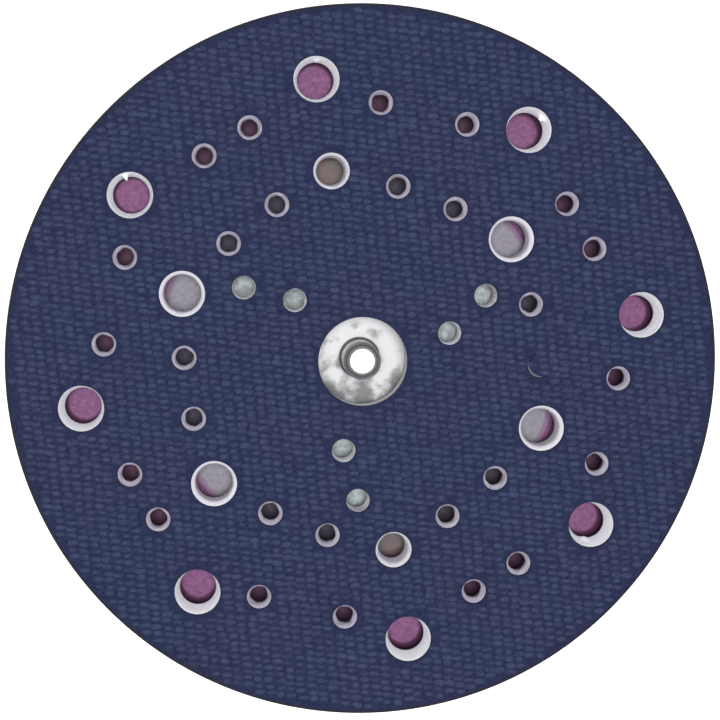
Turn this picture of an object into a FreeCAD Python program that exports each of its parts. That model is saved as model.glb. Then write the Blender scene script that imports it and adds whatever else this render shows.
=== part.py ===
import FreeCAD, Part
import math
import os
from collections import namedtuple

# Hook-and-loop backing pad for a random-orbit sander, in millimetres.
# The origin is where the stud leaves its washer, on the face that the sander's spindle bears on.
# +Z runs from that face to the hook face, and the threaded stud points down -Z.

Vector = FreeCAD.Vector

# Layers, from the hook face down to the washer's face
facing_thickness = 1.4
film_thickness = 0.1
foam_thickness = 7.0
support_thickness = 0.7
channel_depth = 6.7
floor_thickness = 3.0
floor_skin = 2.0
seat_proud = 0.5
washer_thickness = 1.0

# Rings of dust holes: each step goes from the ring inside it to this one
recess_radius = 9.55
centre_near_step = 9.75
centre_far_step = 10.2
inner_small_step = 8.1
inner_port_step = 3.0
outer_small_step = 13.9
outer_port_step = 5.5
rim_land = 15.0

port_radius = 5.0
narrow_port_radius = 4.0
small_hole_radius = 2.75
centre_hole_radius = 2.65
port_lean = 1.1
small_lean = 0.35
hole_margin = 0.3
slug_shift = 0.75

# Bearings of the rings, in degrees anticlockwise from +X
outer_port_bearing = 9.3
close_pair_bearing = 31.65
close_pair_half_gap = 5.9
wide_pair_bearing = 76.1
wide_pair_half_gap = 9.9
inner_port_bearing = 39.3
inner_pair_bearing = 8.6
inner_pair_half_gap = 9.95
centre_near_bearing = 17.9
centre_far_bearing = 28.0

# Foam and sheet edges
foam_bevel = 1.8
film_setback = 0.4
plate_setback = 3.0

# Channel plate and carrier
wall_thickness = 1.6
rib_thickness = 1.6
rim_clearance = 1.2
joint_step = 3.5
joint_clearance = 0.1
edge_fall_width = 1.3
edge_fall_depth = 0.5
groove_width = 0.8
groove_depth = 0.8
ridge_width = 0.8
ridge_height = 0.4
notch_width = 8.0
outlet_margin = 0.5
outlet_length = 13.0
rim_chamfer = 2.5
back_rib_count = 32
lap_thickness = 1.5
boss_radius = 2.8
carrier_land_step = 4.2
carrier_rib_count = 18

# Hub, stud and washer
flange_thickness = 2.0
flange_clearance = 0.3
boss_wall = 6.3
bore_clearance = 0.1
hub_chamfer = 0.6
stud_radius = 3.97
stud_projection = 12.7
stud_setback = 1.2
thread_relief = 0.55
stud_fit = 0.02
front_chamfer_width = 1.37
front_chamfer_height = 1.0
tail_chamfer = 0.8
collar_step = 2.23
collar_thickness = 1.5
staking_width = 0.5
staking_depth = 0.5
washer_setback = 1.5
washer_clearance = 0.15

# Spacer over the flange
spacer_step = 3.4
spacer_wall = 2.0
spacer_arm = 2.4
spacer_arm_bearing = 83.0
spacer_notch_width = 4.0
spacer_notch_depth = 2.8

# Rivets and screws
rivet_count = 6
rivet_bearing = 53.0
rivet_shank_radius = 1.9
rivet_head_radius = 3.0
rivet_crown_radius = 1.8
rivet_head_height = 0.9
rivet_sink = 1.2
rivet_fit = 0.05
screw_shank_radius = 1.4
screw_head_radius = 2.6
screw_head_sink = 1.4
screw_tip_gap = 1.2
screw_fit = 0.05
socket_across_flats = 2.0
socket_depth = 1.0
head_land = 0.8

# Heights above the washer's face
seat_height = washer_thickness
carrier_back = seat_height + seat_proud
floor_top = carrier_back + floor_thickness
skin_back = floor_top - floor_skin
flange_top = floor_top + flange_thickness
deck_top = floor_top + channel_depth
support_top = deck_top + support_thickness
foam_bottom = support_top + film_thickness
foam_top = foam_bottom + foam_thickness
facing_bottom = foam_top + film_thickness
face_height = facing_bottom + facing_thickness

# Radii of the rings and of the rim
centre_near_circle = recess_radius + centre_near_step
centre_far_circle = centre_near_circle + centre_far_step
inner_small_circle = centre_far_circle + inner_small_step
inner_port_circle = inner_small_circle + inner_port_step
outer_small_circle = inner_port_circle + outer_small_step
outer_port_circle = outer_small_circle + outer_port_step
pad_radius = outer_port_circle + rim_land

# Radii of the plate's and the carrier's walls
plate_radius = pad_radius - plate_setback
rim_wall_radius = outer_port_circle + port_radius + rim_clearance
plate_wall_radius = outer_small_circle - small_hole_radius - hole_margin
joint_radius = inner_port_circle + joint_step
screw_circle = (joint_radius + plate_wall_radius - wall_thickness) / 2
lap_radius = screw_circle + screw_head_radius + head_land
carrier_wall_middle = (centre_far_circle + centre_hole_radius + inner_small_circle - small_hole_radius) / 2
carrier_wall_inner = carrier_wall_middle - wall_thickness / 2
carrier_wall_outer = carrier_wall_middle + wall_thickness / 2
flange_radius = carrier_wall_inner - flange_clearance
collar_radius = stud_radius + collar_step
hub_boss_radius = collar_radius + boss_wall
washer_outer_radius = hub_boss_radius - washer_setback
spacer_inner = recess_radius + spacer_step
rivet_circle = (centre_near_circle + centre_far_circle) / 2
carrier_land_radius = rivet_circle + carrier_land_step

Hole = namedtuple("Hole", "bearing circle radius lean")


def spread(count, start):
    """Bearings of count places evenly round the axis."""
    return [start + 360.0 * index / count for index in range(count)]


def pairs(count, start, half_gap):
    """Bearings of count pairs, each pair half_gap either side of its middle."""
    return [middle + side * half_gap for middle in spread(count, start) for side in (-1, 1)]


def dust_holes():
    """Every dust hole of the hook face, ring by ring from the rim inwards."""
    holes = [Hole(turn, outer_port_circle, port_radius, port_lean) for turn in spread(8, outer_port_bearing)]
    small_outer = pairs(4, close_pair_bearing, close_pair_half_gap)
    small_outer += pairs(4, wide_pair_bearing, wide_pair_half_gap)
    holes += [Hole(turn, outer_small_circle, small_hole_radius, small_lean) for turn in small_outer]
    for index, turn in enumerate(spread(6, inner_port_bearing)):
        radius = narrow_port_radius if index % 3 == 1 else port_radius
        holes.append(Hole(turn, inner_port_circle, radius, port_lean))
    for turn in pairs(6, inner_pair_bearing, inner_pair_half_gap):
        holes.append(Hole(turn, inner_small_circle, small_hole_radius, small_lean))
    for turn in spread(3, centre_near_bearing):
        holes.append(Hole(turn, centre_near_circle, centre_hole_radius, small_lean))
    for turn in spread(3, centre_far_bearing):
        holes.append(Hole(turn, centre_far_circle, centre_hole_radius, small_lean))
    return holes


def slug_hole():
    """The hole whose cut stopped short, so that its slug still hangs in the facing."""
    return Hole(inner_pair_bearing - inner_pair_half_gap, inner_small_circle, small_hole_radius, small_lean)


def place(circle, bearing, height=0.0):
    """Point on a circle about the axis."""
    turn = math.radians(bearing)
    return Vector(circle * math.cos(turn), circle * math.sin(turn), height)


def disc(radius, bottom, top, at=Vector(0, 0, 0)):
    """Upright cylinder between two heights."""
    return Part.makeCylinder(radius, top - bottom, Vector(at.x, at.y, bottom))


def taper(bottom_radius, top_radius, bottom, top, at=Vector(0, 0, 0)):
    """Upright cone between two heights."""
    return Part.makeCone(bottom_radius, top_radius, top - bottom, Vector(at.x, at.y, bottom))


def ring(inner, outer, bottom, top):
    """Flat ring between two heights."""
    return disc(outer, bottom, top).cut(disc(inner, bottom - 1, top + 1))


def bar(start, end, width, bottom, top, bearing):
    """Radial bar from one radius to another."""
    beam = Part.makeBox(end - start, width, top - bottom, Vector(start, -width / 2, bottom))
    beam.rotate(Vector(0, 0, 0), Vector(0, 0, 1), bearing)
    return beam


def ring_slot(inner, outer, bottom, top, length, bearing):
    """Curved slot of the given length along its middle, centred on a bearing."""
    half = math.degrees(length / (inner + outer))
    slice_ = Part.makeCylinder(outer, top - bottom, Vector(0, 0, bottom), Vector(0, 0, 1), 2 * half)
    slice_.rotate(Vector(0, 0, 0), Vector(0, 0, 1), bearing - half)
    return slice_.cut(disc(inner, bottom - 1, top + 1))


def cut_all(body, tools):
    """Take every tool out of the body in one cut."""
    return body.cut(Part.makeCompound(tools))


def fuse_all(body, extras):
    """Join the extras to the body and drop the seams between coplanar faces."""
    return body.fuse(extras).removeSplitter()


def hook_facing():
    """Micro-hook sheet, punched through, with one slug left hanging in its hole."""
    sheet = disc(pad_radius, facing_bottom, face_height)
    held = slug_hole()
    tools = [disc(recess_radius, facing_bottom - 1, face_height + 1)]
    for hole in dust_holes():
        middle = place(hole.circle, hole.bearing)
        cutter = disc(hole.radius, facing_bottom - 1, face_height + 1, middle)
        if hole == held:
            slug = disc(hole.radius, facing_bottom - 2, face_height + 2, middle + Vector(slug_shift, 0, 0))
            cutter = cutter.cut(slug)
        tools.append(cutter)
    return cut_all(sheet, tools)


def pierced_sheet(radius, bottom, top, growth, foot=False):
    """Sheet with every dust hole and the recess in it, each larger by growth."""
    tools = [disc(recess_radius + growth, bottom - 1, top + 1)]
    for hole in dust_holes():
        lean = hole.lean if foot else 0.0
        tools.append(disc(hole.radius - lean + growth, bottom - 1, top + 1, place(hole.circle, hole.bearing)))
    return cut_all(disc(radius, bottom, top), tools)


def foam_pad():
    """Soft foam disc with a bevelled rim and dust holes that narrow downwards."""
    block = taper(pad_radius - foam_bevel, pad_radius, foam_bottom, foam_top)
    tools = [disc(recess_radius, foam_bottom - 1, foam_top + 1)]
    for hole in dust_holes():
        slope = hole.lean / foam_thickness
        foot_radius = hole.radius - hole.lean - slope
        head_radius = hole.radius + slope
        middle = place(hole.circle, hole.bearing)
        tools.append(taper(foot_radius, head_radius, foam_bottom - 1, foam_top + 1, middle))
    return cut_all(block, tools)


def joint_grooves():
    """Cutters for the two grooves round the plate's opening, one each side of its ridge."""
    bottom = floor_top - groove_depth
    ridge_inner = joint_radius + joint_clearance + groove_width
    ridge_outer = ridge_inner + ridge_width
    near = ring(joint_radius, ridge_inner, bottom, floor_top + 1)
    far = ring(ridge_outer, ridge_outer + groove_width, bottom, floor_top + 1)
    return [near, far]


def joint_ridge():
    """Narrow ridge that stands between the two grooves."""
    ridge_inner = joint_radius + joint_clearance + groove_width
    return ring(ridge_inner, ridge_inner + ridge_width, floor_top - groove_depth, floor_top + ridge_height)


def channel_plate():
    """Outer moulding: floor, rim, ring wall and ribs that carry the foam over the dust channels."""
    outline = disc(plate_radius, carrier_back, deck_top)
    toe = ring(plate_radius - rim_chamfer, plate_radius + 1, carrier_back - 1, carrier_back + rim_chamfer)
    cone = taper(plate_radius - rim_chamfer, plate_radius, carrier_back, carrier_back + rim_chamfer)
    plate = outline.cut(toe.cut(cone))
    channel = ring(plate_wall_radius, rim_wall_radius, floor_top, deck_top + 1)
    inside = disc(plate_wall_radius - wall_thickness, floor_top, deck_top + 1)
    opening = disc(joint_radius + joint_clearance, carrier_back - 1, floor_top + 1)
    lap_top = carrier_back + lap_thickness + joint_clearance
    lap_seat = disc(lap_radius + joint_clearance, carrier_back - 1, lap_top)
    pocket = ring(lap_radius + wall_thickness, rim_wall_radius, carrier_back - 1, skin_back)
    plate = cut_all(plate, [channel, inside, opening, lap_seat, pocket] + joint_grooves())

    extras = [joint_ridge()]
    sector_middles = [turn + 22.5 for turn in spread(8, outer_port_bearing)]
    outlet_inner = outer_port_circle + outlet_margin
    outlet_outer = rim_wall_radius - outlet_margin
    for turn in sector_middles:
        rib_end = outlet_inner - outlet_margin
        extras.append(bar(plate_wall_radius - 0.5, rib_end, rib_thickness, floor_top - 0.5, deck_top, turn))
    for turn in spread(6, inner_pair_bearing):
        extras.append(disc(boss_radius, floor_top - groove_depth, deck_top, place(screw_circle, turn)))
    for turn in spread(back_rib_count, outer_port_bearing + 180.0 / back_rib_count):
        rib_end = rim_wall_radius + 0.5
        extras.append(bar(lap_radius + 1, rib_end, rib_thickness, carrier_back, skin_back + 0.2, turn))
    plate = fuse_all(plate, extras)

    tools = []
    for turn in spread(8, outer_port_bearing):
        inner_end = plate_wall_radius - wall_thickness - 0.5
        tools.append(bar(inner_end, plate_wall_radius + 0.5, notch_width, floor_top, deck_top + 1, turn))
    for turn in sector_middles:
        slot = ring_slot(outlet_inner, outlet_outer, carrier_back - 1, floor_top + 1, outlet_length, turn)
        tools.append(slot)
    for turn in spread(6, inner_pair_bearing):
        pilot_top = deck_top - screw_tip_gap / 2
        tools.append(disc(screw_shank_radius + screw_fit, carrier_back, pilot_top, place(screw_circle, turn)))
    tools.append(disc(joint_radius + joint_clearance, carrier_back + lap_thickness, deck_top + 1))
    return cut_all(plate, tools)


def carrier_disc():
    """Inner moulding that ties the hub to the channel plate."""
    body = disc(joint_radius, carrier_back, floor_top - edge_fall_depth)
    crown = taper(joint_radius, joint_radius - edge_fall_width, floor_top - edge_fall_depth, floor_top)
    lap = disc(lap_radius, carrier_back, carrier_back + lap_thickness)
    wall = ring(carrier_wall_inner, carrier_wall_outer, floor_top - 0.5, deck_top)
    extras = [crown, lap, wall]
    for turn in spread(6, inner_pair_bearing):
        rib_end = min(joint_radius, screw_circle - boss_radius - joint_clearance) - 0.5
        bottom = floor_top - edge_fall_depth
        extras.append(bar(carrier_wall_outer - 0.5, rib_end, rib_thickness, bottom, deck_top, turn))
    body = fuse_all(body, extras)

    pocket = ring(carrier_land_radius, joint_radius - wall_thickness, carrier_back - 1, skin_back)
    for turn in spread(carrier_rib_count, inner_pair_bearing):
        start = carrier_land_radius - 0.5
        spoke = bar(start, joint_radius, rib_thickness, carrier_back - 2, skin_back + 1, turn)
        pocket = pocket.cut(spoke)
    tools = [pocket, disc(hub_boss_radius + bore_clearance, carrier_back - 1, floor_top + 1)]
    for turn in spread(6, inner_port_bearing):
        start = carrier_wall_inner - 0.5
        tools.append(bar(start, carrier_wall_outer + 0.5, notch_width, floor_top, deck_top + 1, turn))
    for turn in spread(6, inner_pair_bearing):
        middle = place(screw_circle, turn)
        tools.append(disc(screw_shank_radius + screw_fit, carrier_back - 1, floor_top + 1, middle))
        tools.append(screw_head(middle, screw_fit))
    for turn in spread(rivet_count, rivet_bearing):
        middle = place(rivet_circle, turn)
        tools.append(disc(rivet_shank_radius + rivet_fit, carrier_back - 1, floor_top + 1, middle))
        tools.append(rivet_sunk_head(middle, rivet_fit))
    return cut_all(body, tools)


def centre_spacer():
    """Ring with arms that holds the foam up over the hub's flange."""
    outer = spacer_inner + spacer_wall
    body = ring(spacer_inner, outer, flange_top, deck_top)
    arms = []
    for turn in spread(3, spacer_arm_bearing):
        arms.append(bar(outer - 0.5, flange_radius, spacer_arm, flange_top, deck_top, turn))
    body = fuse_all(body, arms)
    notches = []
    for turn in spread(rivet_count, rivet_bearing):
        bottom = deck_top - spacer_notch_depth
        notches.append(bar(spacer_inner - 1, outer + 1, spacer_notch_width, bottom, deck_top + 1, turn))
    return cut_all(body, notches)


def hub():
    """Steel hub: a wide flange on a boss whose back face is the spindle's seat."""
    flange = disc(flange_radius, floor_top, flange_top)
    boss = disc(hub_boss_radius, seat_height + hub_chamfer, floor_top)
    edge = taper(hub_boss_radius - hub_chamfer, hub_boss_radius, seat_height, seat_height + hub_chamfer)
    body = flange.fuse([boss, edge]).removeSplitter()
    tools = [disc(stud_radius + stud_fit, 0.0, flange_top + 1)]
    tools.append(disc(collar_radius + stud_fit, 0.0, seat_height + collar_thickness))
    bore = stud_radius + stud_fit
    tools.append(taper(bore, bore + staking_width, flange_top - staking_depth, flange_top))
    for turn in spread(rivet_count, rivet_bearing):
        middle = place(rivet_circle, turn)
        tools.append(disc(rivet_shank_radius + rivet_fit, floor_top - 1, flange_top + 1, middle))
    return cut_all(body, tools)


def threaded_stud():
    """Steel stud through the hub: plain front, a collar let into the hub, a relief and the threaded end."""
    front = face_height - stud_setback
    shank = disc(stud_radius, seat_height, front - front_chamfer_height)
    tip = taper(stud_radius, stud_radius - front_chamfer_width, front - front_chamfer_height, front)
    collar = disc(collar_radius, seat_height, seat_height + collar_thickness)
    relief = disc(stud_radius - thread_relief, 0.0, seat_height)
    thread = disc(stud_radius, tail_chamfer - stud_projection, 0.0)
    tail = taper(stud_radius - tail_chamfer, stud_radius, -stud_projection, tail_chamfer - stud_projection)
    return shank.fuse([tip, collar, relief, thread, tail]).removeSplitter()


def seat_washer():
    """Fibre washer between the hub's seat and the spindle."""
    return ring(stud_radius + washer_clearance, washer_outer_radius, 0.0, seat_height)


def rivet_sunk_head(middle, growth=0.0):
    """Countersunk head of a hub rivet, flush with the carrier's back."""
    slope = (rivet_head_radius - rivet_shank_radius) / rivet_sink
    sunk_top = carrier_back + rivet_sink
    return taper(rivet_head_radius + growth, rivet_head_radius + growth - slope * rivet_sink,
                 carrier_back, sunk_top, middle)


def hub_rivets():
    """Rivets that hold the hub's flange to the carrier."""
    rivets = []
    for turn in spread(rivet_count, rivet_bearing):
        middle = place(rivet_circle, turn)
        shank = disc(rivet_shank_radius, carrier_back + rivet_sink / 2, flange_top, middle)
        crown_top = flange_top + rivet_head_height
        crown = taper(rivet_head_radius, rivet_crown_radius, flange_top, crown_top, middle)
        rivets.append(shank.fuse([crown, rivet_sunk_head(middle)]).removeSplitter())
    return Part.makeCompound(rivets)


def screw_head(middle, growth=0.0):
    """Countersunk head of a carrier screw, flush with the carrier's back."""
    return taper(screw_head_radius + growth, screw_shank_radius + growth,
                 carrier_back, carrier_back + screw_head_sink, middle)


def hex_socket(middle):
    """Six-sided drive recess in a screw's head."""
    reach = socket_across_flats / math.sqrt(3)
    corners = [middle + place(reach, 60.0 * index, carrier_back - 1) for index in range(7)]
    return Part.Face(Part.makePolygon(corners)).extrude(Vector(0, 0, 1 + socket_depth))


def carrier_screws():
    """Screws that hold the carrier's lap to the bosses of the channel plate."""
    screws = []
    for turn in spread(6, inner_pair_bearing):
        middle = place(screw_circle, turn)
        shank = disc(screw_shank_radius, carrier_back + screw_head_sink / 2, deck_top - screw_tip_gap, middle)
        screw = shank.fuse(screw_head(middle)).removeSplitter()
        screws.append(screw.cut(hex_socket(middle)))
    return Part.makeCompound(screws)


def build():
    """Every node of the pad by name."""
    sheet_radius = pad_radius - film_setback
    return {
        "hook_facing": hook_facing(),
        "facing_film": pierced_sheet(sheet_radius, foam_top, facing_bottom, hole_margin),
        "foam_pad": foam_pad(),
        "foam_film": pierced_sheet(plate_radius - film_setback, support_top, foam_bottom, hole_margin, True),
        "support_sheet": pierced_sheet(plate_radius, deck_top, support_top, 0.0, True),
        "channel_plate": channel_plate(),
        "carrier_disc": carrier_disc(),
        "centre_spacer": centre_spacer(),
        "hub": hub(),
        "threaded_stud": threaded_stud(),
        "seat_washer": seat_washer(),
        "hub_rivets": hub_rivets(),
        "carrier_screws": carrier_screws(),
    }


os.makedirs("parts", exist_ok=True)
for name, shape in build().items():
    shape.exportStep("parts/" + name + ".step")
    box = shape.BoundBox
    print(name, len(shape.Solids), "solids", round(shape.Volume, 2), "mm3", shape.isValid(),
          round(box.ZMin, 2), round(box.ZMax, 2))
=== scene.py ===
import math
import random

import bmesh
import bpy
from mathutils import Matrix, Vector, noise


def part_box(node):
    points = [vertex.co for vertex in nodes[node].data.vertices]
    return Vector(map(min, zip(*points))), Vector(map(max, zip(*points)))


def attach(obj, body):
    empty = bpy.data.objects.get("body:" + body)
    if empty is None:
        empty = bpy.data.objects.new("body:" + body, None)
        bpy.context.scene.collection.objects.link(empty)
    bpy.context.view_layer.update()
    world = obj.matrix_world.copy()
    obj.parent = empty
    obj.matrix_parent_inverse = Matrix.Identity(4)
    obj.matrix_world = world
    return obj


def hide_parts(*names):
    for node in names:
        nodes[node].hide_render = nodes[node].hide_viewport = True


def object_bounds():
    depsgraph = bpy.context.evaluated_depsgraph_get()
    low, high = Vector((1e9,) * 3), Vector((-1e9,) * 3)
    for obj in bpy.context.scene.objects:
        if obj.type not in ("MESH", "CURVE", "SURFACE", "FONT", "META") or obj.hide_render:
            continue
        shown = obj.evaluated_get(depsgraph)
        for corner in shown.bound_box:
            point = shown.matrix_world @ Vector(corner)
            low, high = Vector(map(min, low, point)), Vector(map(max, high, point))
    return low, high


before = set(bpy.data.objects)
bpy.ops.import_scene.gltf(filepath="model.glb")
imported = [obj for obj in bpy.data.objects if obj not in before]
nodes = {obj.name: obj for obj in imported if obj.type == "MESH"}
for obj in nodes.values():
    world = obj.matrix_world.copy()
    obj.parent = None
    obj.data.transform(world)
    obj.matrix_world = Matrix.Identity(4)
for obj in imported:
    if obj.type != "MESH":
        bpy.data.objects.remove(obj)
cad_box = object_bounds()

MM = 0.001
chance = random.Random(7)

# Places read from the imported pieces
cloth_low, cloth_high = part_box("hook_facing")
foam_low, foam_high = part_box("foam_pad")
stud_low, stud_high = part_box("threaded_stud")
washer_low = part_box("seat_washer")[0]
pad_radius = cloth_high.x
face_z = cloth_high.z

hub_seat_to_floor = 3.5 * MM
floor_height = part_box("hub")[0].z + hub_seat_to_floor
rim_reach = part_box("channel_plate")[1].x - 1.5 * MM

# Painted shade: how far from a port's axis it starts and is full, where darker patches lie under the narrow
# ports, where painted pink reflected light lies on the joint's slope, and how wide a foam rim stays
# unshaded
shade_by_outer_port = (3.3 * MM, 3.9 * MM)
shade_by_inner_port = (5.4 * MM, 6.8 * MM)
shade_past_port = (6.0 * MM, 7.5 * MM)
darker_under_narrow_port = (3.0 * MM, 6.0 * MM)
joint_reflected_pink = (43.0 * MM, 43.5 * MM)
unshaded_rim_width = 6.5 * MM

# Hook cloth: the heads stand on the cloth in slanting rows
head_height = 0.35 * MM
head_length = 2.2 * MM
head_width = 1.2 * MM
head_step = Vector((2.28, -0.32, 0.0)) * MM
row_step = Vector((0.15, -1.43, 0.0)) * MM
head_clearance = 0.2 * MM
cut_edge_round = 0.15 * MM
cut_overhang = 0.15 * MM

# Rings of holes, by how far out they lie
outer_port_reach = 57.0 * MM
centre_reach = 32.0 * MM
smallest_port = 3.4 * MM
largest_narrow_port = 4.5 * MM

# Foam: cut walls that waver a little, and the slug left in one hole
foam_bulge = 0.45 * MM
foam_setback = 0.3 * MM
foam_waver = 0.09 * MM
small_waver = 0.26 * MM
waver_size = 1.5 * MM
glued_depth = 0.8 * MM
throat_depth = 2.6 * MM
throat_share = 0.31
port_throat_depth = 1.9 * MM
port_throat_share = 0.17

# Torn flaps of foam: bearing of the port, bearing round the port, reach, height share, spread
flap_height = 1.1 * MM
torn_flaps = (
    (54.3, 40.0, 1.1 * MM, 0.45, 0.22),
    (144.3, 104.0, 1.7 * MM, 0.35, 0.10),
    (99.3, 88.0, 0.7 * MM, 0.5, 0.14),
    (324.3, 262.0, 0.6 * MM, 0.85, 0.2),
)
slug_shift = Vector((0.40, 0.22, 0.0)) * MM
slug_gap = 0.02 * MM
slug_bearing = math.radians(-1.35)
slug_circle = 37.6 * MM
small_lean = 0.35 * MM

# Stud: 5/16 inch, 24 threads to the inch
stud_radius = 3.97 * MM
thread_pitch = 25.4 / 24 * MM
thread_depth = 0.613 * thread_pitch
neck_radius = 3.42 * MM
collar_low, collar_top = 1.0 * MM, 2.5 * MM
nose_chamfer = Vector((1.37, 1.0)) * MM
tail_chamfer = 0.8 * MM


# ------------------------------------------------------------ building pieces

def finish_piece(name, bm, material):
    """Turn a bmesh into a smooth piece with sharp corners that rides on the pad."""
    bmesh.ops.recalc_face_normals(bm, faces=bm.faces)
    mesh = bpy.data.meshes.new(name)
    bm.to_mesh(mesh)
    bm.free()
    mesh.materials.append(material)
    for face in mesh.polygons:
        face.use_smooth = True
    mesh.set_sharp_from_angle(angle=math.radians(38))
    piece = bpy.data.objects.new(name, mesh)
    bpy.context.scene.collection.objects.link(piece)
    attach(piece, "root")
    return piece


def round_edges(node, height):
    """Centre, largest and smallest reach of each round edge a CAD piece has at a height."""
    bm = bmesh.new()
    bm.from_mesh(nodes[node].data)
    bmesh.ops.remove_doubles(bm, verts=bm.verts, dist=0.002 * MM)
    level = {v for v in bm.verts if abs(v.co.z - height) < 0.01 * MM}
    corner = math.radians(50)
    links = {}
    for edge in bm.edges:
        if level.issuperset(edge.verts) and edge.calc_face_angle(0.0) > corner:
            for vert in edge.verts:
                links.setdefault(vert, []).append(edge.other_vert(vert))
    found = []
    while links:
        loop, todo = [], [next(iter(links))]
        while todo:
            vert = todo.pop()
            if vert in links:
                loop.append(vert.co.copy())
                todo.extend(links.pop(vert))
        low = Vector([min(p[i] for p in loop) for i in range(3)])
        high = Vector([max(p[i] for p in loop) for i in range(3)])
        centre = (low + high) / 2
        reach = [(p - centre).length for p in loop]
        found.append((centre, max(reach), min(reach)))
    bm.free()
    return found


def circle_edges(bm, centre, radius, height, count):
    """Flat ring of edges."""
    place = Matrix.Translation((centre.x, centre.y, height))
    made = bmesh.ops.create_circle(bm, cap_ends=False, segments=count, radius=radius, matrix=place)
    return list({edge for vert in made["verts"] for edge in vert.link_edges})


def next_level(bm, edges, centre, radius, height):
    """Draw a wall from a ring of edges to a new radius and height."""
    made = bmesh.ops.extrude_edge_only(bm, edges=edges)["geom"]
    for vert in [item for item in made if isinstance(item, bmesh.types.BMVert)]:
        away = Vector((vert.co.x - centre.x, vert.co.y - centre.y, 0.0)).normalized()
        vert.co = Vector((centre.x, centre.y, height)) + away * radius
    return [item for item in made if isinstance(item, bmesh.types.BMEdge)]


def punched_layer(bm, outlines):
    """Closed round layer: each outline is a centre, a count and its levels, top to bottom."""
    tops, feet = [], []
    for centre, count, levels in outlines:
        edges = circle_edges(bm, centre, levels[0][0], levels[0][1], count)
        tops.extend(edges)
        for radius, height in levels[1:]:
            edges = next_level(bm, edges, centre, radius, height)
        feet.extend(edges)
    bmesh.ops.triangle_fill(bm, use_beauty=True, edges=tops)
    bmesh.ops.triangle_fill(bm, use_beauty=True, edges=feet)


def add_slug(bm, hole, radius, top, bottom):
    """Punched slug that never left its hole, pushed against one side of it."""
    place = Matrix.Translation((hole.x + slug_shift.x, hole.y + slug_shift.y, top))
    made = bmesh.ops.create_circle(bm, cap_ends=True, segments=48, radius=radius, matrix=place)
    middle = Vector((hole.x, hole.y, top))
    for vert in made["verts"]:
        away = vert.co - middle
        if away.length > radius - slug_gap:
            vert.co = middle + away.normalized() * (radius - slug_gap)
    faces = list({face for vert in made["verts"] for face in vert.link_faces})
    wall = bmesh.ops.extrude_face_region(bm, geom=faces)["geom"]
    foot = [item for item in wall if isinstance(item, bmesh.types.BMVert)]
    bmesh.ops.translate(bm, verts=foot, vec=(0, 0, bottom - top))


def hole_count(radius):
    """Corners round a hole, more for a larger one."""
    return 96 if radius > 8 * MM else 64 if radius > 3.5 * MM else 40


# ---------------------------------------------------------------- dust holes

def dust_holes():
    """Each hole through the face: its centre, mouth radius, foot radius, and if a slug is left."""
    feet = round_edges("foam_pad", foam_low.z)
    holes = []
    for centre, reach, least in round_edges("hook_facing", face_z):
        if reach > pad_radius * 0.9:
            continue
        foot = min(feet, key=lambda f: (f[0].xy - centre.xy).length)
        holes.append([Vector((centre.x, centre.y, 0.0)), reach, foot[1], reach - least > 0.1 * MM])
    return holes


holes = dust_holes()
plain_small = sorted(hole[1] for hole in holes)[len(holes) // 2]
for hole in holes:
    if hole[3]:
        hole[0] = Vector((math.cos(slug_bearing), math.sin(slug_bearing), 0.0)) * slug_circle
        hole[1] = plain_small
        hole[2] = plain_small - small_lean
narrow_port_holes = [hole for hole in holes if smallest_port < hole[1] < largest_narrow_port]
outer_ports = [hole[0] for hole in holes if hole[0].length > outer_port_reach]
inner_ports = [
    hole[0] for hole in holes
    if hole[1] > smallest_port and centre_reach < hole[0].length < outer_port_reach]


# --------------------------------------------------------------- node groups

def add(tree, kind, inputs, **settings):
    """Add a node, set its properties, and set or link its inputs."""
    node = tree.nodes.new(kind)
    for key, value in settings.items():
        setattr(node, key, value)
    for key, value in inputs.items():
        if isinstance(value, bpy.types.NodeSocket):
            tree.links.new(value, node.inputs[key])
        else:
            node.inputs[key].default_value = value
    return node


def new_group(name, inputs, outputs):
    """Empty node group with float inputs, and float, colour or vector outputs."""
    group = bpy.data.node_groups.new(name, "ShaderNodeTree")
    for label, value in inputs.items():
        socket = group.interface.new_socket(label, in_out="INPUT", socket_type="NodeSocketFloat")
        socket.default_value = value
    for label, kind in outputs.items():
        group.interface.new_socket(label, in_out="OUTPUT", socket_type=kind)
    start = group.nodes.new("NodeGroupInput").outputs
    end = group.nodes.new("NodeGroupOutput").inputs
    return group, start, end


def scaled_noise(group, size, detail, roughness):
    """Noise whose features are the given size in millimetres."""
    place = group.nodes.new("ShaderNodeTexCoord").outputs["Object"]
    scale = add(group, "ShaderNodeMath", {0: 1000.0, 1: size}, operation="DIVIDE").outputs[0]
    inputs = {"Vector": place, "Scale": scale, "Detail": detail, "Roughness": roughness}
    return add(group, "ShaderNodeTexNoise", inputs).outputs[0]


def contrast_of(group, value, contrast):
    """Spread a value round a half so that a larger contrast gives a crisper mask."""
    low = add(group, "ShaderNodeMath", {0: 0.5, 1: contrast}, operation="SUBTRACT").outputs[0]
    high = add(group, "ShaderNodeMath", {0: 0.5, 1: contrast}, operation="ADD").outputs[0]
    return add(group, "ShaderNodeMapRange", {0: value, 1: low, 2: high}).outputs[0]


def axis_reach(tree):
    """Distance from the stud's axis, for rings and rims."""
    place = tree.nodes.new("ShaderNodeTexCoord").outputs["Object"]
    inputs = {0: place, 1: (1.0, 1.0, 0.0)}
    flat = add(tree, "ShaderNodeVectorMath", inputs, operation="MULTIPLY").outputs[0]
    return add(tree, "ShaderNodeVectorMath", {0: flat}, operation="LENGTH").outputs["Value"]


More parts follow.
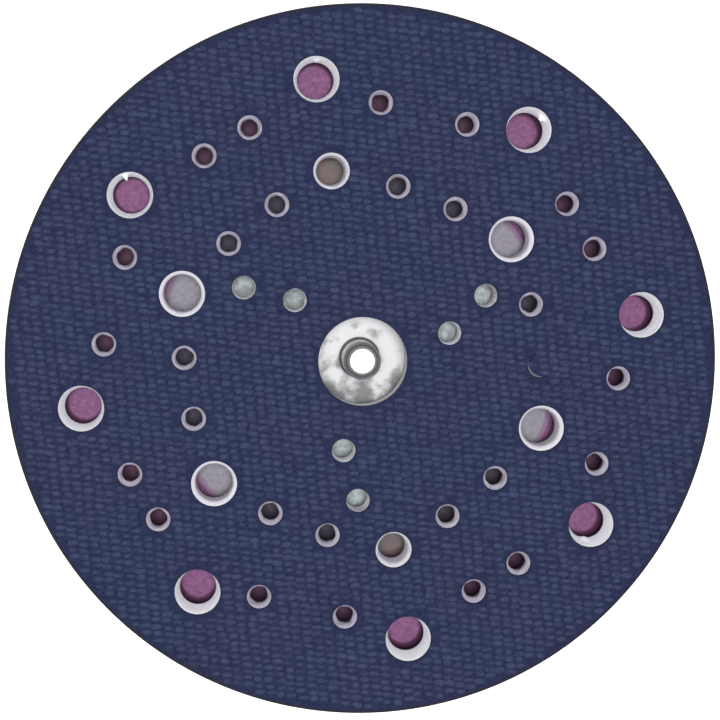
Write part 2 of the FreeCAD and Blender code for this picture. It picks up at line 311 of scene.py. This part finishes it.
def speckle_group():
    """Mottling of one size: a mask and a normal."""
    outputs = {"Mask": "NodeSocketFloat", "Normal": "NodeSocketVector"}
    group, start, end = new_group("speckle", {"Size": 1.0, "Spread": 0.2, "Depth": 0.1}, outputs)
    grain = scaled_noise(group, start["Size"], 5.0, 0.6)
    mask = contrast_of(group, grain, start["Spread"])
    bump = add(group, "ShaderNodeBump", {"Strength": start["Depth"], "Distance": 0.1 * MM, "Height": mask})
    group.links.new(mask, end["Mask"])
    group.links.new(bump.outputs[0], end["Normal"])
    return group


def turning_group():
    """Fine rings round the stud's axis, as a lathe leaves them, and a mask of smudges that Lean makes
    stronger towards −Y.
    """
    inputs = {"Pitch": 0.2, "Depth": 0.1, "Size": 3.0, "Lean": 0.0}
    outputs = {"Smudge": "NodeSocketFloat", "Normal": "NodeSocketVector"}
    group, start, end = new_group("turning_marks", inputs, outputs)
    place = group.nodes.new("ShaderNodeTexCoord").outputs["Object"]
    scale = add(group, "ShaderNodeMath", {0: 50.0, 1: start["Pitch"]}, operation="DIVIDE").outputs[0]
    inputs = {"Vector": place, "Scale": scale, "Distortion": 0.6, "Detail": 2.0}
    rings = add(group, "ShaderNodeTexWave", inputs, wave_type="RINGS", rings_direction="Z").outputs[1]
    cloud = scaled_noise(group, start["Size"], 4.0, 0.6)
    along = add(group, "ShaderNodeSeparateXYZ", {0: place}).outputs[1]
    lean = add(group, "ShaderNodeMath", {0: start["Lean"], 1: along}, operation="MULTIPLY").outputs[0]
    cloud = add(group, "ShaderNodeMath", {0: cloud, 1: lean}, operation="SUBTRACT").outputs[0]
    smudge = add(group, "ShaderNodeMapRange", {0: cloud, 1: 0.48, 2: 0.68}).outputs[0]
    inputs = {"Strength": start["Depth"], "Distance": 0.02 * MM, "Height": rings}
    bump = add(group, "ShaderNodeBump", inputs)
    group.links.new(smudge, end["Smudge"])
    group.links.new(bump.outputs[0], end["Normal"])
    return group


def away_group():
    """Mask that rises away from the nearest of some ports spread evenly round a circle."""
    inputs = {"Bearing": 0.0, "Step": 1.0, "Circle": 1.0, "Start": 0.0, "Stop": 1.0}
    group, start, end = new_group("away_from_ports", inputs, {"Mask": "NodeSocketFloat"})

    def maths(operation, *values):
        return add(group, "ShaderNodeMath", dict(enumerate(values)), operation=operation).outputs[0]

    place = group.nodes.new("ShaderNodeTexCoord").outputs["Object"]
    axes = add(group, "ShaderNodeSeparateXYZ", {0: place}).outputs
    turn = maths("SUBTRACT", maths("ARCTAN2", axes[1], axes[0]), start["Bearing"])
    half = maths("MULTIPLY", start["Step"], 0.5)
    folded = maths("WRAP", turn, half, maths("MULTIPLY", half, -1.0))
    reach = axis_reach(group)
    along = maths("SUBTRACT", maths("MULTIPLY", reach, maths("COSINE", folded)), start["Circle"])
    across = maths("MULTIPLY", reach, maths("SINE", folded))
    apart = maths("SQRT", maths("ADD", maths("MULTIPLY", along, along), maths("MULTIPLY", across, across)))
    inputs = {0: apart, 1: start["Start"], 2: start["Stop"]}
    group.links.new(add(group, "ShaderNodeMapRange", inputs).outputs[0], end["Mask"])
    return group


speckle = speckle_group()
turning = turning_group()
away = away_group()


# ----------------------------------------------------------------- materials

def new_material(name, settings):
    """Material with its shader's own sockets set; returns it, its tree and its shader."""
    material = bpy.data.materials.new(name)
    material.use_nodes = True
    shader = material.node_tree.nodes["Principled BSDF"]
    for label, value in settings.items():
        shader.inputs[label].default_value = value
    return material, material.node_tree, shader


def place_group(tree, group, values):
    """Put a node group in a material with its own values."""
    node = add(tree, "ShaderNodeGroup", {}, node_tree=group)
    for label, value in values.items():
        node.inputs[label].default_value = value
    return node.outputs


def blend_colours(tree, mask, first, second):
    """Colour that goes from the first to the second with a mask."""
    inputs = {0: mask}
    for socket, colour in ((6, first), (7, second)):
        inputs[socket] = colour if isinstance(colour, bpy.types.NodeSocket) else (*colour, 1.0)
    return add(tree, "ShaderNodeMix", inputs, data_type="RGBA").outputs[2]


def both(tree, first, second):
    """Mask of what two masks share."""
    return add(tree, "ShaderNodeMath", {0: first, 1: second}, operation="MULTIPLY").outputs[0]


def ramp(tree, value, start, stop, first, second):
    """Value mapped from one range to another."""
    return add(tree, "ShaderNodeMapRange", {0: value, 1: start, 2: stop, 3: first, 4: second}).outputs[0]


def mottled(name, settings, dark, light, size, spread, depth, gloss=(0.0, 0.0)):
    """Material between two tones; gloss is how much its roughness wanders each way."""
    material, tree, shader = new_material(name, settings)
    marks = place_group(tree, speckle, {"Size": size, "Spread": spread, "Depth": depth})
    tree.links.new(blend_colours(tree, marks["Mask"], dark, light), shader.inputs["Base Color"])
    tree.links.new(marks["Normal"], shader.inputs["Normal"])
    if gloss != (0.0, 0.0):
        rough = settings["Roughness"]
        value = ramp(tree, marks["Mask"], 0.0, 1.0, rough + gloss[0], rough + gloss[1])
        tree.links.new(value, shader.inputs["Roughness"])
    return material, tree, shader


def hook_material(name, dark, light, size, rim_shade_colour):
    """Navy hook cloth: fine fibre mottling, slow drifts of hue, and painted shade along the rounded cut
    rim.
    """
    settings = {"Roughness": 0.85, "Specular IOR Level": 0.08}
    material, tree, shader = new_material(name, settings)
    fibre = place_group(tree, speckle, {"Size": size, "Spread": 0.16, "Depth": 0.5})
    drift = place_group(tree, speckle, {"Size": 16.0, "Spread": 0.2, "Depth": 0.0})
    warm = tuple(value * tint for value, tint in zip(light, (1.12, 0.96, 0.98)))
    cool = tuple(value * tint for value, tint in zip(light, (0.84, 1.04, 1.03)))
    pale = blend_colours(tree, drift["Mask"], warm, cool)
    colour = blend_colours(tree, fibre["Mask"], dark, pale)
    # Painted shade along the rounded cut rim
    rim = ramp(tree, axis_reach(tree), pad_radius - 0.9 * MM, pad_radius - 0.2 * MM, 0.0, 1.0)
    tree.links.new(blend_colours(tree, rim, colour, rim_shade_colour), shader.inputs["Base Color"])
    tree.links.new(fibre["Normal"], shader.inputs["Normal"])
    return material


def away_from(tree, ports, dust):
    """Mask of what lies away from some evenly spread ports."""
    first = ports[0]
    values = {
        "Bearing": math.atan2(first.y, first.x), "Step": math.tau / len(ports), "Circle": first.length,
        "Start": dust[0], "Stop": dust[1]}
    return place_group(tree, away, values)["Mask"]


def foam_material():
    """White foam with open pores, and painted shade on the hole walls away from the ports."""
    settings = {"Roughness": 0.95, "Specular IOR Level": 0.2}
    material, tree, shader = new_material("white_foam", settings)
    place = tree.nodes.new("ShaderNodeTexCoord").outputs["Object"]
    cells = add(tree, "ShaderNodeTexVoronoi", {"Vector": place, "Scale": 1000 / 0.32}).outputs["Distance"]
    pores = ramp(tree, cells, 0.05, 0.55, 0.0, 1.0)
    drift = place_group(tree, speckle, {"Size": 2.5, "Spread": 0.25, "Depth": 0.0})
    wall = blend_colours(tree, drift["Mask"], (0.90, 0.89, 0.94), (0.97, 0.97, 0.99))
    # The pores are painted darker, as shade in them
    bare_foam_colour = blend_colours(tree, pores, (0.78, 0.77, 0.84), wall)
    reach = axis_reach(tree)
    unshaded_from = pad_radius - unshaded_rim_width
    rim = ramp(tree, reach, unshaded_from, unshaded_from + 1.0 * MM, 1.0, 0.0)
    ring = ramp(tree, reach, centre_reach - 1.0 * MM, centre_reach + 1.0 * MM, 0.0, 1.0)
    # Painted shade on the foam walls of holes away from the outer ports, outside the centre ring and short
    # of the unshaded rim; deeper away from the inner ports too
    foam_shade = both(tree, away_from(tree, outer_ports, shade_past_port), both(tree, rim, ring))
    deeper_foam_shade = both(tree, foam_shade, away_from(tree, inner_ports, shade_past_port))
    colour = blend_colours(tree, foam_shade, bare_foam_colour, (0.68, 0.66, 0.72))
    colour = blend_colours(tree, deeper_foam_shade, colour, (0.44, 0.41, 0.49))
    bump = add(tree, "ShaderNodeBump", {"Strength": 0.45, "Distance": 0.08 * MM, "Height": pores})
    tree.links.new(colour, shader.inputs["Base Color"])
    tree.links.new(bump.outputs[0], shader.inputs["Normal"])
    return material


def turned_metal(
        name, settings, bright, dull, pitch, size, depth, lean=0.0, bright_reach=None, plain=None):
    """Turned metal: lathe rings, duller smudges, and beyond a reach a plain dull tone."""
    material, tree, shader = new_material(name, settings)
    marks = place_group(tree, turning, {"Pitch": pitch, "Depth": depth, "Size": size, "Lean": lean})
    rough = settings["Roughness"]
    mask = marks["Smudge"]
    colour = blend_colours(tree, mask, bright, dull)
    if bright_reach:
        beyond = ramp(tree, axis_reach(tree), bright_reach, bright_reach + 1.0 * MM, 0.0, 1.0)
        mask = add(tree, "ShaderNodeMath", {0: mask, 1: beyond}, operation="MAXIMUM").outputs[0]
        grain = place_group(tree, speckle, {"Size": 1.4, "Spread": 0.12, "Depth": 0.1})["Mask"]
        flange = blend_colours(tree, grain, tuple(0.62 * tone for tone in plain), plain)
        colour = blend_colours(tree, beyond, colour, flange)
    polish = ramp(tree, mask, 0.0, 1.0, rough, rough + 0.12)
    tree.links.new(colour, shader.inputs["Base Color"])
    tree.links.new(polish, shader.inputs["Roughness"])
    tree.links.new(marks["Normal"], shader.inputs["Normal"])
    return material


def paint(node, material):
    """Give a CAD piece its material."""
    nodes[node].data.materials.clear()
    nodes[node].data.materials.append(material)


def nylon(name, dark, light, patches=()):
    """Moulded nylon with a satin, slightly uneven skin; patches are (mask maker, colour) pairs."""
    settings = {"Roughness": 0.55, "Specular IOR Level": 0.12}
    material, tree, shader = mottled(
        name, settings, dark, light, size=1.1, spread=0.22, depth=0.12, gloss=(0.06, -0.06))
    for mask_of, colour in patches:
        under = shader.inputs["Base Color"].links[0].from_socket
        tree.links.new(blend_colours(tree, mask_of(tree), under, colour), shader.inputs["Base Color"])
    return material


def brown_spots(tree):
    """Mask of brown spots in the darker patches under the two narrow ports."""
    spots = place_group(tree, speckle, {"Size": 4.5, "Spread": 0.07, "Depth": 0.0})["Mask"]
    return both(tree, under_narrow_ports(tree), ramp(tree, spots, 0.0, 1.0, 0.0, 0.4))


def inside_pad(tree):
    """Mask of what lies inside the pad, behind neither its rim nor its back."""
    place = tree.nodes.new("ShaderNodeTexCoord").outputs["Object"]
    height = add(tree, "ShaderNodeSeparateXYZ", {0: place}).outputs[2]
    above = ramp(tree, height, floor_height - 1.5 * MM, floor_height - 1.0 * MM, 0.0, 1.0)
    return both(tree, above, ramp(tree, axis_reach(tree), rim_reach - 1.0 * MM, rim_reach, 1.0, 0.0))


def away_from_inner_ports(tree):
    """Mask of painted shade on what lies away from the inner ports."""
    return both(tree, away_from(tree, inner_ports, shade_by_inner_port), inside_pad(tree))


def away_from_all_ports(tree):
    """Mask of painted shade on what lies away from the outer and the inner ports."""
    return both(tree, away_from(tree, outer_ports, shade_by_outer_port), away_from_inner_ports(tree))


def under_small_holes(tree):
    """Mask of deeper painted shade on the channel floor well away from the ports."""
    return both(tree, away_from(tree, outer_ports, shade_past_port), away_from_inner_ports(tree))


def near_joint(tree):
    """Mask of the carrier's sloping edge beside the purple plate, where pink light reflected off the plate
    is painted.
    """
    slope = ramp(tree, axis_reach(tree), *joint_reflected_pink, 0.0, 0.75)
    return both(tree, slope, inside_pad(tree))


def under_narrow_ports(tree):
    """Mask of the darker patches under the two narrow ports."""
    place = tree.nodes.new("ShaderNodeTexCoord").outputs["Object"]
    masks = []
    for centre, mouth, foot, slug in narrow_port_holes:
        spot = (centre.x, centre.y, floor_height)
        inputs = {0: place, 1: spot}
        reach = add(tree, "ShaderNodeVectorMath", inputs, operation="DISTANCE").outputs["Value"]
        masks.append(ramp(tree, reach, *darker_under_narrow_port, 1.0, 0.0))
    dust = add(tree, "ShaderNodeMath", {0: masks[0], 1: masks[1]}, operation="MAXIMUM").outputs[0]
    return both(tree, dust, inside_pad(tree))


# The cloth is darker than the heads, partly its own tone and partly painted shade between the heads; the
# last colour of each is painted shade along the cut rim
hook_cloth_look = hook_material(
    "navy_hook_cloth", (0.0085, 0.011, 0.033), (0.017, 0.022, 0.053), 0.6, (0.016, 0.015, 0.022))
hook_head_look = hook_material(
    "navy_hook_heads", (0.017, 0.022, 0.049), (0.032, 0.040, 0.081), 1.3, (0.022, 0.021, 0.030))
foam_look = foam_material()
film_settings = {"Roughness": 0.35, "Specular IOR Level": 0.5}
film_look = mottled(
    "adhesive_film", film_settings, (0.24, 0.23, 0.22), (0.32, 0.31, 0.30),
    size=1.5, spread=0.2, depth=0.1)[0]
sheet_settings = {"Roughness": 0.55, "Specular IOR Level": 0.4}
sheet_look = mottled(
    "stiff_sheet", sheet_settings, (0.16, 0.15, 0.18), (0.22, 0.21, 0.24),
    size=2.0, spread=0.25, depth=0.08)[0]
fibre_settings = {"Roughness": 0.85, "Specular IOR Level": 0.25}
fibre_look = mottled(
    "red_brown_fibre", fibre_settings, (0.13, 0.045, 0.030), (0.26, 0.10, 0.065),
    size=0.5, spread=0.2, depth=0.4)[0]
oxide_settings = {"Metallic": 0.85, "Roughness": 0.42}
oxide_look = mottled(
    "black_oxide_steel", oxide_settings, (0.020, 0.020, 0.022), (0.060, 0.060, 0.066),
    size=0.9, spread=0.25, depth=0.1, gloss=(0.1, -0.08))[0]
rivet_settings = {"Metallic": 1.0, "Roughness": 0.34}
rivet_look = mottled(
    "satin_aluminium", rivet_settings, (0.52, 0.53, 0.54), (0.74, 0.75, 0.76),
    size=0.8, spread=0.25, depth=0.1, gloss=(0.12, -0.06))[0]
# Plate patches: painted shade away from all ports, and deeper painted shade on the floor well away from
# them
plate_look = nylon(
    "purple_nylon", (0.105, 0.034, 0.095), (0.175, 0.066, 0.158),
    ((away_from_all_ports, (0.050, 0.010, 0.036)), (under_small_holes, (0.036, 0.009, 0.028))))
# Carrier patches: painted pink reflected light by the joint, darker patches with brown spots under the
# narrow ports, and painted shade away from the inner ports
carrier_look = nylon(
    "grey_nylon", (0.150, 0.140, 0.165), (0.205, 0.192, 0.225),
    ((near_joint, (0.21, 0.095, 0.20)), (under_narrow_ports, (0.082, 0.074, 0.080)),
     (brown_spots, (0.150, 0.085, 0.060)),
     (away_from_inner_ports, (0.020, 0.017, 0.030))))
hub_settings = {"Metallic": 1.0, "Roughness": 0.64}
# Lean makes the hub face duller and darker towards −Y, the bottom of the view
hub_look = turned_metal(
    "zinc_plated_steel", hub_settings, (0.33, 0.33, 0.335), (0.20, 0.205, 0.21),
    pitch=0.35, size=4.5, depth=0.2, lean=12.0, bright_reach=10.6 * MM, plain=(0.36, 0.395, 0.405))
stud_settings = {"Metallic": 1.0, "Roughness": 0.25}
stud_look = turned_metal(
    "bright_turned_steel", stud_settings, (0.62, 0.62, 0.63), (0.42, 0.43, 0.44),
    pitch=0.25, size=3.0, depth=0.2)

for node in ("facing_film", "foam_film"):
    paint(node, film_look)
for node in ("carrier_disc", "centre_spacer"):
    paint(node, carrier_look)
paint("support_sheet", sheet_look)
paint("channel_plate", plate_look)
paint("hub", hub_look)
paint("seat_washer", fibre_look)
paint("hub_rivets", rivet_look)
paint("carrier_screws", oxide_look)


# ------------------------------------------------------------- soft pieces

def waver(bm):
    """Let the cut walls wander, most in the small holes, but not the glued top and foot."""
    small = [hole for hole in holes if hole[1] < smallest_port]
    for vert in bm.verts:
        depth = min(foam_high.z - vert.co.z, vert.co.z - foam_low.z)
        share = max(0.0, min(1.0, depth / glued_depth))
        place = Vector((vert.co.x, vert.co.y, 0.0))
        in_small = any((place - hole[0]).length < hole[1] for hole in small)
        reach = small_waver if in_small else foam_waver
        shift = noise.noise_vector(vert.co / waver_size) * reach * share
        vert.co += Vector((shift.x, shift.y, 0.0))


def hole_wall(centre, mouth, foot, steps):
    """Radius and height of a hole's wall: the outer ports are cones, the others have a throat."""
    low, high = foam_low.z, foam_high.z
    mouth = mouth - cut_overhang
    if centre.length > outer_port_reach or centre.length < centre_reach:
        return [(mouth + (foot - mouth) * step ** 0.75, high + (low - high) * step) for step in steps]
    wide = mouth > smallest_port
    throat = mouth * (1.0 - (port_throat_share if wide else throat_share))
    turn = port_throat_depth if wide else throat_depth
    levels = []
    for step in steps:
        depth = (high - low) * step
        if depth < turn:
            radius = throat + (mouth - throat) * (1.0 - depth / turn) ** 1.5
        else:
            radius = throat + (foot - throat) * (depth - turn) / (high - low - turn)
        levels.append((radius, high - depth))
    return levels


def tear_flaps(bm):
    """Pull narrow flaps of torn foam out of the walls of a few outer ports."""
    low, high = foam_low.z, foam_high.z
    for bearing, way, reach, share, spread in torn_flaps:
        turn = math.radians(bearing)
        outward = Vector((math.cos(turn), math.sin(turn), 0.0)) * pad_radius
        port = min(holes, key=lambda hole: (hole[0] - outward).length)
        height = high + (low - high) * share
        for vert in bm.verts:
            away = Vector((vert.co.x - port[0].x, vert.co.y - port[0].y, 0.0))
            if away.length > port[1] + 0.1 * MM or abs(vert.co.z - high) < 0.01 * MM:
                continue
            off = (math.atan2(away.y, away.x) - math.radians(way) + math.pi) % math.tau - math.pi
            drop = (vert.co.z - height) / flap_height
            vert.co -= away.normalized() * reach * math.exp(-(off / spread) ** 2 - drop ** 2)


def foam_cushion():
    """Soft foam: a bulged side, and holes that narrow towards their feet."""
    bm = bmesh.new()
    steps = [0.0, 0.05, 0.11, 0.18, 0.27, 0.4, 0.55, 0.7, 0.85, 1.0]
    low, high = foam_low.z, foam_high.z
    foot_radius = max(round_edges("foam_pad", low), key=lambda edge: edge[1])[1]
    side = []
    for step in steps:
        radius = pad_radius + (foot_radius - pad_radius) * step - foam_setback
        side.append((radius + foam_bulge * math.sin(math.pi * step), high + (low - high) * step))
    outlines = [(Vector(), 240, side)]
    for centre, mouth, foot, slug in holes:
        outlines.append((centre, hole_count(mouth), hole_wall(centre, mouth, foot, steps)))
    punched_layer(bm, outlines)
    waver(bm)
    tear_flaps(bm)
    piece = finish_piece("foam_cushion", bm, foam_look)
    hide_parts("foam_pad")
    return piece


def hook_cloth():
    """Backing cloth that the hook heads stand on, with softly cut edges."""
    bm = bmesh.new()
    top, low = face_z - head_height, cloth_low.z
    turn = cut_edge_round
    rim = [(pad_radius - turn, top), (pad_radius - 0.3 * turn, top - 0.3 * turn), (pad_radius, top - turn)]
    rim.append((pad_radius - 0.1 * MM, low))
    outlines = [(Vector(), 240, rim)]
    for centre, mouth, foot, slug in holes:
        edge = mouth - cut_overhang
        levels = [(edge + turn, top), (edge + 0.3 * turn, top - 0.3 * turn)]
        levels.extend([(edge, top - turn), (edge, low)])
        outlines.append((centre, hole_count(mouth), levels))
    punched_layer(bm, outlines)
    for centre, mouth, foot, slug in holes:
        if slug:
            add_slug(bm, centre, mouth - cut_overhang, top + 0.05 * MM, low)
    piece = finish_piece("hook_cloth", bm, hook_cloth_look)
    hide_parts("hook_facing")
    return piece


def one_head():
    """Low rounded tuft with a closed foot."""
    bm = bmesh.new()
    size = Matrix.Diagonal((head_length / 2, head_width / 2, head_height, 1.0))
    bmesh.ops.create_uvsphere(bm, u_segments=8, v_segments=4, radius=1.0, matrix=size)
    everything = [*bm.verts, *bm.edges, *bm.faces]
    cut = bmesh.ops.bisect_plane(
        bm, geom=everything, dist=1e-9, plane_co=(0, 0, 0), plane_no=(0, 0, 1), clear_inner=True)
    edge = [item for item in cut["geom_cut"] if isinstance(item, bmesh.types.BMEdge)]
    bmesh.ops.contextual_create(bm, geom=edge)
    mesh = bpy.data.meshes.new("one_head")
    bm.to_mesh(mesh)
    bm.free()
    return mesh


def head_fits(place):
    """True where a hook head is clear of the rim and of every hole."""
    if place.length > pad_radius - head_length * 0.6:
        return False
    for centre, mouth, foot, slug in holes:
        reach = (place - centre).length
        if slug and abs(reach - mouth) < 0.7 * head_width and (place - centre).dot(slug_shift) < 0.0:
            return False
        if not slug and reach < mouth + head_length * 0.3 + head_clearance:
            return False
    return True


def hook_heads():
    """Rows of hook heads over the whole face, each a little different."""
    tuft = one_head()
    bm = bmesh.new()
    reach = int(2.2 * pad_radius / row_step.length)
    for across in range(-40, 41):
        for down in range(-reach, reach + 1):
            place = head_step * across + row_step * (down + chance.uniform(-0.12, 0.12))
            place.x += chance.uniform(-0.25, 0.25) * MM
            if not head_fits(place):
                continue
            turn = Matrix.Rotation(chance.uniform(-0.16, 0.10), 4, "Z")
            size = Matrix.Diagonal(
                (chance.uniform(0.75, 1.15), chance.uniform(0.8, 1.15), chance.uniform(0.55, 0.98), 1.0))
            copy = tuft.copy()
            seat = Matrix.Translation((place.x, place.y, face_z - head_height))
            copy.transform(seat @ turn @ size)
            bm.from_mesh(copy)
            bpy.data.meshes.remove(copy)
    bpy.data.meshes.remove(tuft)
    return finish_piece("hook_heads", bm, hook_head_look)


# -------------------------------------------------------------------- stud

def spun(bm, profile, steps, rise=0.0):
    """Turn a profile of radius and height once round the stud's axis."""
    verts = [bm.verts.new((radius, 0.0, height)) for radius, height in profile]
    edges = [bm.edges.new(pair) for pair in zip(verts, verts[1:])]
    bmesh.ops.spin(
        bm, geom=verts + edges, cent=(0, 0, 0), axis=(0, 0, 1), dvec=(0, 0, rise / steps),
        angle=math.tau, steps=steps, use_merge=rise == 0.0)
    bmesh.ops.remove_doubles(bm, verts=bm.verts, dist=0.001 * MM)


def thread_profile(low, high):
    """Zigzag of a 60 degree thread, with flat crests and roots."""
    points, height = [], low
    while height < high:
        for depth, flat in ((0.0, 0.0), (0.0, 0.125), (1.0, 0.4375), (1.0, 0.6875)):
            points.append((stud_radius - thread_depth * depth, height + flat * thread_pitch))
        height += thread_pitch
    return points


def threaded_end():
    """Threaded tail with a chamfered end, and caps that close it."""
    bm = bmesh.new()
    low, high = stud_low.z, washer_low.z + 0.1 * MM
    spun(bm, thread_profile(low - 2 * thread_pitch, high + 2 * thread_pitch), 64, thread_pitch)
    for height, way in ((low, -1.0), (high, 1.0)):
        everything = [*bm.verts, *bm.edges, *bm.faces]
        cut = bmesh.ops.bisect_plane(
            bm, geom=everything, dist=1e-7, plane_co=(0, 0, height), plane_no=(0, 0, way), clear_outer=True)
        edges = [item for item in cut["geom_cut"] if isinstance(item, bmesh.types.BMEdge)]
        bmesh.ops.contextual_create(bm, geom=edges)
    for vert in bm.verts:
        limit = stud_radius - max(0.0, tail_chamfer - (vert.co.z - low))
        across = vert.co.xy.length
        if across > limit:
            vert.co.x *= limit / across
            vert.co.y *= limit / across
    return bm


def stud_with_thread():
    """Bright stud: plain front with a chamfered nose, collar, neck and threaded tail."""
    bm = threaded_end()
    nose = stud_radius - nose_chamfer.x
    nose_low = stud_high.z - nose_chamfer.y
    flange = stud_high.x
    ease = 0.12 * MM
    profile = [
        (0.0, washer_low.z), (neck_radius, washer_low.z), (neck_radius, collar_low),
        (flange - ease, collar_low), (flange, collar_low + ease), (flange, collar_top - ease),
        (flange - ease, collar_top), (stud_radius, collar_top), (stud_radius, nose_low - ease),
        (stud_radius - 0.3 * ease, nose_low), (nose + ease, stud_high.z - 0.5 * ease),
        (nose - ease, stud_high.z), (0.0, stud_high.z)]
    spun(bm, profile, 96)
    piece = finish_piece("stud_with_thread", bm, stud_look)
    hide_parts("threaded_stud")
    return piece


foam_cushion()
cloth = hook_cloth()
heads = hook_heads()
stud_with_thread()


# ------------------------------------------------------------ studio and view

def studio_floor():
    """Plain pale floor that the stud's end stands on."""
    bm = bmesh.new()
    place = Matrix.Translation((0, 0, cad_box[0].z))
    bmesh.ops.create_circle(bm, cap_ends=True, segments=96, radius=2.5, matrix=place)
    mesh = bpy.data.meshes.new("studio_floor")
    bm.to_mesh(mesh)
    bm.free()
    floor = bpy.data.objects.new("studio_floor", mesh)
    bpy.context.scene.collection.objects.link(floor)
    settings = {"Roughness": 0.95, "Specular IOR Level": 0.1}
    look = mottled(
        "pale_floor", settings, (0.90, 0.90, 0.90), (0.92, 0.92, 0.92), size=60.0, spread=0.3, depth=0.0)[0]
    mesh.materials.append(look)


def soft_light(name, place, size, power):
    """Square soft light aimed at the pad."""
    data = bpy.data.lights.new(name, "AREA")
    data.shape = "SQUARE"
    data.size = size
    data.energy = power
    light = bpy.data.objects.new(name, data)
    light.location = place
    light.rotation_euler = (-Vector(place)).to_track_quat("-Z", "Y").to_euler()
    bpy.context.scene.collection.objects.link(light)


def studio_world(low, high, backdrop):
    """Soft surroundings that light the pad less near the horizon, seen as a pale backdrop."""
    world = bpy.data.worlds.new("studio")
    bpy.context.scene.world = world
    world.use_nodes = True
    tree = world.node_tree
    place = tree.nodes.new("ShaderNodeTexCoord").outputs["Generated"]
    way = add(tree, "ShaderNodeSeparateXYZ", {0: place})
    light = ramp(tree, way.outputs[2], 0.15, 0.85, low, high)
    seen = tree.nodes.new("ShaderNodeLightPath").outputs["Is Camera Ray"]
    strength = ramp(tree, seen, 0.0, 1.0, light, backdrop)
    tree.links.new(strength, tree.nodes["Background"].inputs["Strength"])
    tree.nodes["Background"].inputs["Color"].default_value = (1.0, 1.0, 1.0, 1.0)


def pad_camera(foot, height, aim, lens):
    """Camera over the face, a little to one side, with the pad's +Y upwards."""
    data = bpy.data.cameras.new("camera")
    data.lens = lens
    data.sensor_width = 36.0
    data.clip_start, data.clip_end = 0.01, 20.0
    camera = bpy.data.objects.new("camera", data)
    place = Vector((foot[0], foot[1], face_z + height))
    back = (place - Vector((aim[0], aim[1], face_z))).normalized()
    right = Vector((0, 1, 0)).cross(back).normalized()
    up = back.cross(right)
    camera.matrix_world = Matrix.Translation(place) @ Matrix((right, up, back)).transposed().to_4x4()
    bpy.context.scene.collection.objects.link(camera)
    bpy.context.scene.camera = camera


studio_floor()
studio_world(low=0.10, high=0.60, backdrop=0.85)
soft_light("overhead_softbox", place=(-0.03, 0.04, 1.4), size=0.34, power=29.0)
pad_camera(foot=(-27.7 * MM, 32.3 * MM), height=485 * MM, aim=(-0.64 * MM, 0.38 * MM), lens=115.6)
bpy.context.scene.view_settings.view_transform = "Standard"
